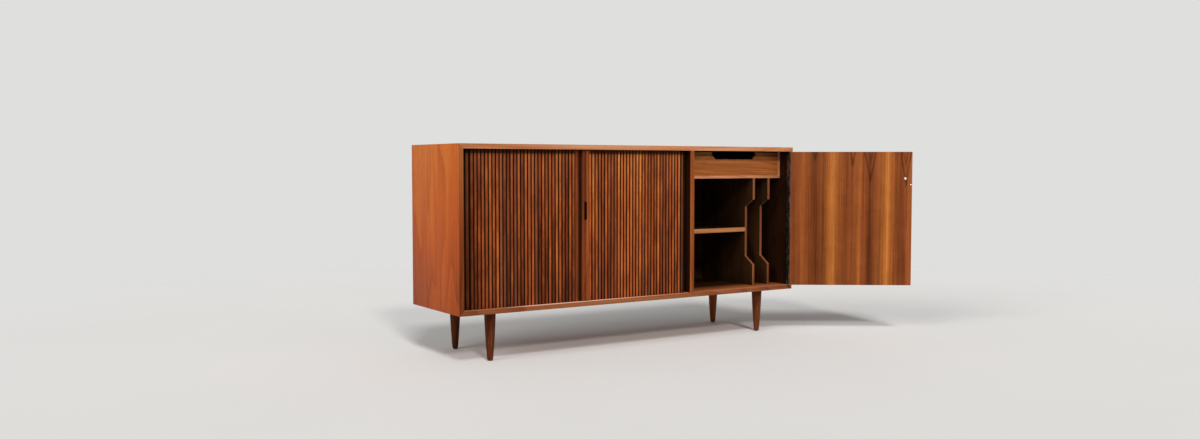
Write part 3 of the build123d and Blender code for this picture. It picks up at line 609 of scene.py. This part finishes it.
def edit(piece):
    """Open a piece in edit mode with nothing of it selected."""
    work_on(piece)
    bpy.ops.object.mode_set(mode="EDIT")
    bpy.ops.mesh.select_all(action="DESELECT")
    return bmesh.from_edit_mesh(piece.data)


def draw_out(distance):
    """Extrude what is selected straight up, or down where the distance is negative."""
    bpy.ops.mesh.extrude_region_move(TRANSFORM_OT_translate={"value": (0, 0, distance)})


def done(angle=32):
    """Close edit mode, with soft shading that keeps corners sharper than the angle."""
    bpy.ops.object.mode_set(mode="OBJECT")
    bpy.ops.object.shade_smooth_by_angle(angle=radians(angle))


def fixed(piece):
    """Leave the piece's place in its mesh."""
    work_on(piece)
    bpy.ops.object.transform_apply(location=True, rotation=True, scale=True)


def new_object(name, data):
    made = bpy.data.objects.new(name, data)
    bpy.context.scene.collection.objects.link(made)
    return made


def settle(piece, material, nodes, body=None):
    """Give a piece its finish and the body that it rides on, and hide the nodes that it stands for."""
    piece.data.materials.clear()
    piece.data.materials.append(material)
    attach(piece, body or body_of_node[nodes[0]])
    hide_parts(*nodes)


same_point = 0.00001  # points nearer than this are one
same_plane = radians(0.6)  # triangles that differ by less are one face
sharp_from = radians(40)  # an edge between faces that differ by more is an arris
long_from = 0.009
close_by = 0.0005  # how near an edge is to the front or back that it belongs to


def rounded_normal(face):
    return tuple(round(part, 2) for part in face.normal)


def eased_copy(node, name, material, width=0.0006, chosen=None):
    """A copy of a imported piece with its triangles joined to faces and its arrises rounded.

    Only the sharp edges for which chosen(edge, middle) holds are rounded, or else all.
    """
    piece = new_object(name, frame["nodes"][node].data.copy())
    edit(piece)
    bpy.ops.mesh.select_all(action="SELECT")
    bpy.ops.mesh.customdata_custom_splitnormals_clear()
    bpy.ops.mesh.remove_doubles(threshold=same_point)
    bpy.ops.mesh.dissolve_limited(angle_limit=same_plane)
    bpy.ops.mesh.select_all(action="DESELECT")
    bpy.ops.mesh.select_mode(type="EDGE")
    mesh = bmesh.from_edit_mesh(piece.data)
    flats = {rounded_normal(face) for face in mesh.faces}
    for edge in mesh.edges:
        sharp = len(edge.link_faces) == 2 and edge.calc_face_angle(0) > sharp_from
        middle = (edge.verts[0].co + edge.verts[1].co) / 2
        edge.select_set(sharp and (chosen is None or chosen(edge, middle)))
    bmesh.update_edit_mesh(piece.data)
    bpy.ops.mesh.bevel(offset=width, segments=2, profile=0.5, affect="EDGES", clamp_overlap=True)
    mesh = bmesh.from_edit_mesh(piece.data)
    # marks the rounded arrises, which the finish paints paler for wear and a painted highlight
    arris = mesh.verts.layers.float.new("arris")
    for vertex in mesh.verts:
        vertex[arris] = float(all(rounded_normal(face) not in flats for face in vertex.link_faces))
    bmesh.update_edit_mesh(piece.data)
    done()
    settle(piece, material, [node])


def by_the_front(middle):
    return middle.y < case_front + close_by


def front_or_back_edge(edge, middle):
    """An edge at the case's front or back, between faces that are square to it, so no mitre."""
    square = all(max(abs(part) for part in face.normal) > 0.999 for face in edge.link_faces)
    return square and (by_the_front(middle) or middle.y > case_back - close_by)


def long_edge(edge, middle):
    """Any edge but those across a groove's end or round a small hole."""
    return edge.calc_length() > long_from


def long_front_edge(edge, middle):
    return long_edge(edge, middle) and by_the_front(middle)


def record_board_edge(edge, middle):
    """Any long edge, and the short ones above and below the hollow in the front edge."""
    hollow = bay_floor + 0.15 <= middle.z <= bay_floor + 0.3
    return long_edge(edge, middle) or not hollow


def lead_show_edge(edge, middle):
    """A long edge on or just behind the show side."""
    return long_edge(edge, middle) and middle.y < show_side + 0.002


# ---- case ----

# the bottom board: painted shade from 0.17 m behind the front, and a painted sheen along its front
bottom_wood = board_finish(
    "walnut_bottom",
    "X",
    (1.7, 0.6, 0.4),
    dark_edge_tones,
    floor_tones,
    shade_by=0.17,
    painted_sheen=0.8,
)
# painted light: the left end is lighter towards its top
left_wood = board_finish("walnut_left_end", "Z", (0.9, 1.3, 0.2), side_edge_tones, painted_light_rise=1.0)
case_boards = {
    "top_board": ("case_top", board_finish("walnut_top", "X", (0.3, 0.2, 0.1))),
    "bottom_board": ("case_bottom", bottom_wood),
    "left_side": ("case_left_end", left_wood),
    "right_side": ("case_right_end", board_finish("walnut_right_end", "Z", (2.9, 0.3, 1.2))),
}
for node, (name, material) in case_boards.items():
    eased_copy(node, name, material, width=0.0005, chosen=front_or_back_edge)

# painted shade on the divider's faces from 5 mm behind the front
divider_wood = board_finish(
    "walnut_divider", "Z", (4.1, 2.2, 0.7), side_edge_tones, shade_by=0.005
)
eased_copy("centre_divider", "case_divider", divider_wood, chosen=long_front_edge)
# painted shade: the back's inner face takes the dark bay tones
back_skin = 0.0008
back_wood = lipped_finish(
    "walnut_back", "X", (3.3, 5.0, 0.9), inner_back - back_skin, liner_tones, bay_shade_tones
)
eased_copy("back_panel", "case_back", back_wood, width=0.0004)

inner_boards = {
    "false_back": ("curtain_back_liner", "X", (0.4, 7.0, 2.0)),
    "left_liner": ("curtain_left_liner", "Z", (1.4, 8.0, 3.0)),
    "right_liner": ("curtain_right_liner", "Z", (2.4, 9.0, 4.0)),
}
for node, (name, along, shift) in inner_boards.items():
    material = plain_finish(f"liner_{name}", along, shift, liner_tones)
    eased_copy(node, name, material, width=0.0005, chosen=long_edge)

long_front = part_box("tambour_shelf")[0].y
short_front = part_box("short_shelf")[0].y
bay_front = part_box("drawer_shelf_lipping")[0].y
long_wood = lipped_finish("walnut_long_shelf", "X", (0.2, 3.1, 5.0), long_front, drawer_tones)
eased_copy("tambour_shelf", "long_shelf", long_wood, width=0.0008)
short_wood = lipped_finish(
    "walnut_short_shelf", "X", (6.2, 1.1, 2.0), short_front, edges=shelf_edge_tones
)
eased_copy("short_shelf", "record_bay_shelf", short_wood, width=0.0008)
# the drawer shelf takes the painted shade tones of the case's inside
drawer_shelf_wood = plain_finish("walnut_drawer_shelf", "X", (5, 4, 3), painted_shade_tones)
eased_copy("drawer_shelf", "drawer_shelf_board", drawer_shelf_wood)
lipping_wood = plain_finish("walnut_lipping", "X", (2, 9, 3), edge_tones)
eased_copy("drawer_shelf_lipping", "drawer_shelf_edge", lipping_wood, width=0.0009)
for side in ("left", "right"):
    name = f"drawer_runner_{side}"
    guide_wood = lipped_finish(f"walnut_{name}", "Z", (7, 2, 1), bay_front)
    eased_copy(f"drawer_guide_{side}", name, guide_wood)
for number, side in enumerate(("left", "right")):
    upright_wood = record_board_finish(f"walnut_record_{side}", (3 + number, 6, 2))
    eased_copy(
        f"record_board_{side}",
        f"record_divider_{side}",
        upright_wood,
        width=0.0007,
        chosen=record_board_edge,
    )

# ---- drawer and door ----

face_wood = drawer_face_finish("walnut_drawer_face", (1, 5, 8))
eased_copy("drawer_front", "drawer_face", face_wood, width=0.0007)
for number, node in enumerate(("drawer_side_left", "drawer_side_right", "drawer_back")):
    along = "X" if node == "drawer_back" else "Y"
    material = plain_finish(f"drawer_wood_{number}", along, (number, 4, 6), carcass_tones)
    eased_copy(node, node.replace("drawer_", "drawer_box_"), material)
base_wood = plain_finish("drawer_base_ply", "X", (9, 1, 6), carcass_tones)
eased_copy("drawer_bottom", "drawer_box_base", base_wood)

eased_copy("door_panel", "door_leaf", door_finish("walnut_door"), chosen=long_edge)


# ---- tambour curtains ----

# painted shade on the slats round the bend, where the case hides them from the light
pocket_shade_start = -0.002  # from the start of the bend
pocket_shade_reach = 0.034  # the length over which the painted shade on the slats grows, in the pocket of the bend
most_pocket_shade = {"left": 0.00045, "right": 0.0009}  # counts as depth below the show face
log_step = (0.83, 0.29, 0.57)  # how far apart in the log two slats are cut
log_offset = {"left": 0, "right": 60}  # in slats
left_tone = 0.405
right_tone = 0.51
pale_rise = 0.13  # the right-hand curtain is paler about one place
pale_middle = 0.42
pale_half = 0.22
tone_steps = (-0.15, -0.09, -0.04, 0.0, 0.04, 0.08, 0.13)
tone_spread = 0.04
canvas_rows = 8
front_steps = 24
bend_steps = 8


def slat_blank():
    """One slat, upright, with the middle of its canvas side on the Z axis."""
    low = bay_floor + slat_clearance
    high = bay_ceiling - slat_clearance
    deselect()
    bpy.ops.mesh.primitive_cube_add(size=1, location=(0, -slat_thickness / 2, (low + high) / 2))
    piece = bpy.context.object
    piece.scale = (slat_width, slat_thickness, high - low)
    fixed(piece)
    mesh = edit(piece)
    bpy.ops.mesh.select_mode(type="EDGE")
    for edge in mesh.edges:
        start, end = (vertex.co for vertex in edge.verts)
        upright = abs(start.x - end.x) + abs(start.y - end.y) < 1e-6
        edge.select_set(upright and start.y < -slat_thickness / 2)
    bmesh.update_edit_mesh(piece.data)
    bpy.ops.mesh.bevel(offset=slat_bevel, segments=3, profile=0.42, affect="EDGES")
    # a tongue at each end, thinner than the slat
    bpy.ops.mesh.select_mode(type="FACE")
    for way in (-1, 1):
        bpy.ops.mesh.select_all(action="DESELECT")
        mesh = bmesh.from_edit_mesh(piece.data)
        for face in mesh.faces:
            face.select_set(face.normal.z * way > 0.9)
        bmesh.update_edit_mesh(piece.data)
        bpy.ops.mesh.inset(thickness=tongue_inset, depth=0)
        draw_out(way * tongue_length)
    done(angle=28)
    return piece


def write_numbers(mesh, name, numbers):
    """Keep one number for each point of a mesh, for its finish to read."""
    layer = mesh.attributes.new(name, "FLOAT", "POINT")
    layer.data.foreach_set("value", numbers)


def write_places(mesh, name, places):
    """Keep one place for each point of a mesh, for its finish to read."""
    layer = mesh.attributes.new(name, "FLOAT_VECTOR", "POINT")
    layer.data.foreach_set("vector", [part for place in places for part in place])


def on_bevel(point):
    """Whether a point of the blank slat is within the round of a bevel, clear of its ends."""
    round_from = slat_width / 2 - slat_bevel + 0.00015
    round_to = slat_width / 2 - 0.001
    round_back = -0.006
    return round_from < abs(point.x) < round_to and point.y < round_back


def note_grain(mesh, number, tone, pocket_shade):
    """Write a slat's tone, grain place and depth below the show face, with its painted pocket shade, into its
    mesh.
    """
    points = [vertex.co for vertex in mesh.vertices]
    # share of wear and painted highlight on the slats' bevels
    painted_sheen = 0.08
    write_numbers(mesh, "slat_tone", [tone] * len(points))
    write_numbers(mesh, "slat_depth", [point.y + slat_thickness + pocket_shade for point in points])
    write_numbers(mesh, "arris", [painted_sheen * on_bevel(point) for point in points])
    shift = [number * step for step in log_step]
    places = [[spot + part for spot, part in zip(point, shift)] for point in points]
    write_places(mesh, "slat_place", places)


def curtain_place(hand, run):
    """Where a slat stands whose middle is this far past the start of the bend."""
    way = outward[hand]
    quarter = bend_radius * pi / 2
    start = bend_start[hand]
    if run < 0:
        return Matrix.Translation((start + way * run, canvas_side, 0))
    if run < quarter:
        turn = run / bend_radius
        spot = (start + way * bend_radius * sin(turn), bend_centre - bend_radius * cos(turn), 0)
        return Matrix.Translation(spot) @ Matrix.Rotation(way * turn, 4, "Z")
    spot = (start + way * bend_radius, bend_centre + run - quarter, 0)
    return Matrix.Translation(spot) @ Matrix.Rotation(way * pi / 2, 4, "Z")


def join(pieces, name):
    deselect()
    for piece in pieces:
        piece.select_set(True)
    bpy.context.view_layer.objects.active = pieces[0]
    bpy.ops.object.join()
    whole = bpy.context.object
    whole.name = name
    return whole


def slats_along(hand, blank, runs, tones, first, name):
    """Copies of the blank at their places along the groove, as one piece."""
    copies = []
    for number, (run, tone) in enumerate(zip(runs, tones), first):
        piece = new_object(f"{hand}_slat_{number}", blank.data.copy())
        share = min(1.0, max(0.0, (run - pocket_shade_start) / pocket_shade_reach))
        note_grain(piece.data, number + log_offset[hand], tone, most_pocket_shade[hand] * share)
        piece.data.transform(curtain_place(hand, run))
        copies.append(piece)
    return join(copies, name)


def tones_of_slats(hand):
    """A tone for each slat, drawn for each in turn."""
    tones = []
    for number in range(front_slats + tail_slats):
        base = left_tone
        if hand == "right":
            off_pale = abs(number / front_slats - pale_middle) / pale_half
            base = right_tone + pale_rise * max(0.0, 1 - off_pale)
        tones.append(base + pick.choice(tone_steps) + pick.uniform(-tone_spread, tone_spread))
    return tones


def front_line(hand):
    """The plan of the canvas behind the front slats."""
    low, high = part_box(f"tambour_{hand}_canvas")
    length = high.x - low.x
    glued = canvas_side + canvas_gap
    return [(low.x + length * step / front_steps, glued) for step in range(front_steps + 1)]


def bend_line(hand):
    """The plan of the canvas round the bend and along the side."""
    way = outward[hand]
    start = bend_start[hand]
    inner = bend_radius - canvas_gap
    line = []
    for step in range(bend_steps + 1):
        turn = pi / 2 * step / bend_steps
        line.append((start + way * inner * sin(turn), bend_centre - inner * cos(turn)))
    line.append((start + way * inner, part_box(f"tambour_{hand}_tail_canvas")[1].y))
    return line


def canvas_strip(name, outline, nodes, body):
    """An upright strip of canvas whose plan is a line of points on the slats' backs."""
    low = bay_floor + canvas_margin
    high = bay_ceiling - canvas_margin
    points = [Vector((x, y, low)) for x, y in outline]
    deselect()
    bpy.ops.mesh.primitive_plane_add(size=1, location=(0, 0, 0))
    piece = bpy.context.object
    edit(piece)
    bpy.ops.mesh.select_mode(type="EDGE")
    bpy.ops.mesh.select_all(action="SELECT")
    bpy.ops.mesh.delete(type="VERT")
    mesh = bmesh.from_edit_mesh(piece.data)
    mesh_points = [mesh.verts.new(point) for point in points]
    for first, second in zip(mesh_points, mesh_points[1:]):
        mesh.edges.new((first, second))
    bmesh.update_edit_mesh(piece.data)
    bpy.ops.mesh.select_all(action="SELECT")
    for _ in range(canvas_rows):
        draw_out((high - low) / canvas_rows)
    bpy.ops.mesh.select_all(action="SELECT")
    bpy.ops.mesh.normals_make_consistent(inside=False)
    done(angle=60)
    spots = [(vertex.co.x + vertex.co.y, 0.0, vertex.co.z) for vertex in piece.data.vertices]
    write_places(piece.data, "slat_place", spots)
    thick = piece.modifiers.new("thickness", "SOLIDIFY")
    thick.thickness = canvas_thickness
    thick.offset = 0
    work_on(piece)
    bpy.ops.object.modifier_apply(modifier=thick.name)
    piece.name = name
    settle(piece, canvas_cloth, nodes, body)
    return piece


slat_wood = slat_finish("walnut_slats")
canvas_cloth = canvas_finish("curtain_canvas")
blank = slat_blank()
pick = Random(12)

for hand in ("left", "right"):
    first_run = outward[hand] * (first_slat[hand] - bend_start[hand])
    runs = [first_run + slat_pitch * number for number in range(front_slats + tail_slats)]
    tones = tones_of_slats(hand)
    front = slats_along(hand, blank, runs[:front_slats], tones, 0, f"{hand}_curtain_slats")
    settle(front, slat_wood, [f"tambour_{hand}_slats"], "case")
    bend = slats_along(
        hand,
        blank,
        runs[front_slats:],
        tones[front_slats:],
        front_slats,
        f"{hand}_curtain_bend_slats",
    )
    settle(bend, slat_wood, [f"tambour_{hand}_tail_slats"])

    front_nodes = [f"tambour_{hand}_canvas"]
    bend_nodes = [f"tambour_{hand}_tail_canvas"]
    cloth = canvas_strip(f"{hand}_curtain_canvas", front_line(hand), front_nodes, "case")
    canvas_strip(f"{hand}_curtain_bend_canvas", bend_line(hand), bend_nodes, "case")

    # the front slats and their canvas each get a mesh of their own; the share that they would gather to as the
    # lead travels is worked out but not used
    travel = joints[f"{hand}_tambour_slide"]["range_m"][1]
    lead_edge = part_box(f"tambour_{hand}_slats")[1 if hand == "left" else 0].x
    reach = abs(bend_start[hand] - lead_edge)
    for piece in (front, cloth):
        max(0.006, (reach - travel) / reach)
        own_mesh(piece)

bpy.data.objects.remove(blank)

left_lead_wood = left_lead_finish("walnut_left_lead")
eased_copy(
    "tambour_left_lead", "left_curtain_lead", left_lead_wood, width=0.0005, chosen=long_edge
)
right_lead_wood = right_lead_finish("walnut_right_lead")
eased_copy(
    "tambour_right_lead",
    "right_curtain_lead",
    right_lead_wood,
    width=0.0005,
    chosen=lead_show_edge,
)


# ---- legs ----


def turned_leg(name, node, material):
    """A round tapered leg drawn up ring by ring from its foot."""
    low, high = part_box(node)
    centre = (low + high) / 2
    height = high.z - low.z
    foot = 0.011
    top = 0.0215
    swell = 0.0012
    foot_round = 0.002
    sections = 14
    rings = [(foot - 0.0006, 0.0006), (foot, foot_round)]
    for step in range(1, sections + 1):
        share = step / sections
        full = 4 * swell * share * (1 - share)
        wide = foot + (top - foot) * share + full
        rings.append((wide, foot_round + (height - foot_round) * share))

    radius = foot - foot_round
    level = 0.0
    deselect()
    bpy.ops.mesh.primitive_circle_add(
        vertices=56, radius=radius, fill_type="NGON", location=(centre.x, centre.y, low.z)
    )
    piece = bpy.context.object
    fixed(piece)
    edit(piece)
    bpy.ops.mesh.select_all(action="SELECT")
    for wide, up in rings:
        draw_out(up - level)
        scale = wide / radius
        pivot = (centre.x, centre.y, low.z + up)
        bpy.ops.transform.resize(value=(scale, scale, 1), center_override=pivot)
        radius = wide
        level = up
    bpy.ops.mesh.select_all(action="SELECT")
    bpy.ops.mesh.normals_make_consistent(inside=False)
    done(angle=40)
    piece.name = name
    settle(piece, material, [node])


# painted light: the left pair darker than the right pair
legs = {
    "leg_front_left": shaded_left_leg_tones,
    "leg_back_left": shaded_left_leg_tones,
    "leg_front_right": lit_right_leg_tones,
    "leg_back_right": lit_right_leg_tones,
}
for number, (node, tones) in enumerate(legs.items()):
    shift = (number * 1.7, 2 + number, 0.4)
    leg_wood = plain_finish(f"walnut_{node}", "Z", shift, tones, figure=0.8, roughness=0.34)
    turned_leg(f"turned_{node}", node, leg_wood)

# ---- metal and small parts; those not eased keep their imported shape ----

steel_tones = [(0.3, "#1d1a17"), (0.5, "#4d4640"), (0.7, "#b5aca0")]
plate_tones = [(0.2, "#c9c6c0"), (0.5, "#e6e3dd"), (0.9, "#f8f6f2")]
zinc_tones = [(0.2, "#8d8a84"), (0.5, "#b4b1aa"), (0.9, "#d8d5ce")]
brass_tones = [(0.2, "#7a6a45"), (0.5, "#a8925c"), (0.9, "#cdb87c")]
dull_steel = metal_finish("dull_steel", steel_tones, roughness=0.42)
bright_plate = metal_finish("bright_plate", plate_tones, roughness=0.16, scale=1400)
zinc = metal_finish("zinc_screws", zinc_tones, roughness=0.3)
brass = metal_finish("shelf_pins", brass_tones, roughness=0.3)
small_parts = {
    dull_steel: ("hinge_case_leaf", "hinge_door_leaf", "hinge_pin", "catch_strike", "catch_sleeve"),
    bright_plate: ("catch_screw",),
    zinc: ("hinge_case_screws", "hinge_door_screws", "knob_screw", "hanger_bolts"),
    brass: ("tambour_shelf_pins", "short_shelf_pins"),
    nylon_finish("glide_nylon"): ("glides",),
    plain_finish("drawer_stop_wood", "Y", (8, 5, 1), carcass_tones): ("drawer_stops",),
}
for material, nodes in small_parts.items():
    for node in nodes:
        data = frame["nodes"][node].data
        data.materials.clear()
        data.materials.append(material)

round_pieces = (
    ("knob_nut", "door_knob_nut", bright_plate),
    ("catch_bullet", "door_catch_bullet", bright_plate),
    ("door_knob", "door_turned_knob", plain_finish("walnut_knob", "Y", (5, 5, 1), dark_edge_tones)),
)
for node, name, material in round_pieces:
    eased_copy(node, name, material, width=0.00015)

# ---- floor ----

floor_middle = 0.8
floor_radius = 14


def floor_finish():
    """Pale plain floor that thins out far away."""
    finish = Finish("pale_floor")
    x, y, _ = finish.parts(finish.place())
    cloud = finish.noise(x * 0.9, y * 0.9, 0.0)
    colour = finish.ramp(cloud, [(0.3, "#dedddb"), (0.7, "#e1e0de")])
    shader = finish.node("ShaderNodeBsdfPrincipled", {}, {"Base Color": colour, "Roughness": 0.75})
    away = ((x - floor_middle) * (x - floor_middle) + y * y) ** 0.5
    clear = finish.node("ShaderNodeBsdfTransparent", {}, {})
    thin = finish.rise(away, 1.6, 5.2)
    return finish.finished(finish.node("ShaderNodeMixShader", {}, {0: thin, 1: shader, 2: clear}))


deselect()
bpy.ops.mesh.primitive_circle_add(
    vertices=96, radius=floor_radius, fill_type="NGON", location=(floor_middle, 0, 0)
)
floor = bpy.context.object
floor.name = "studio_floor"
fixed(floor)
floor.data.materials.append(floor_finish())

# ---- light ----


def lamp(name, towards, strength, spread, colour):
    """Broad far light from the direction given; its spread is in degrees."""
    data = bpy.data.lights.new(name, "SUN")
    data.energy = strength
    data.angle = radians(spread)
    data.color = colour
    light = new_object(name, data)
    light.location = towards
    light.rotation_euler = Vector(towards).to_track_quat("Z", "Y").to_euler()


warm_white = (1.0, 0.985, 0.96)
cool_white = (0.99, 0.99, 1.0)
lamp("front_light", (-0.26, -1.0, 0.66), strength=1.15, spread=8, colour=warm_white)
lamp("left_light", (-1.0, -0.25, 0.6), strength=1.25, spread=30, colour=warm_white)
lamp("high_light", (-0.3, -0.7, 1.0), strength=1.25, spread=12, colour=cool_white)

# the world is a pale backdrop where it is seen, mirrored or seen through, and else soft light
studio = Finish("studio", world=True)
ray = studio.node("ShaderNodeLightPath", {}, {}, "Is Camera Ray")
backdrop_seen = ray.larger(ray.out("Is Glossy Ray")).larger(ray.out("Is Transmission Ray"))
soft_light = {"Color": (1.0, 1.0, 1.0, 1), "Strength": 0.27}
backdrop = {"Color": paint("#dfdfde"), "Strength": 1.0}
around = {
    0: backdrop_seen,
    1: studio.node("ShaderNodeBackground", {}, soft_light),
    2: studio.node("ShaderNodeBackground", {}, backdrop),
}
sky = studio.node("ShaderNodeMixShader", {}, around)
bpy.context.scene.world = studio.finished(sky, "ShaderNodeOutputWorld")

# ---- camera ----

lens = bpy.data.cameras.new("front_left_view")
lens.sensor_fit = "HORIZONTAL"
lens.sensor_width = 36
lens.lens = 31.62
lens.clip_end = 100
look_down = 0.0513
look_right = atan2(0.5458, 0.8379)
camera = new_object("front_left_view", lens)
camera.location = (-1.7465, -3.4157, 0.7116)
camera.rotation_euler = (pi / 2 - look_down, 0, -look_right)
bpy.context.scene.camera = camera
bpy.context.scene.view_settings.view_transform = "Standard"
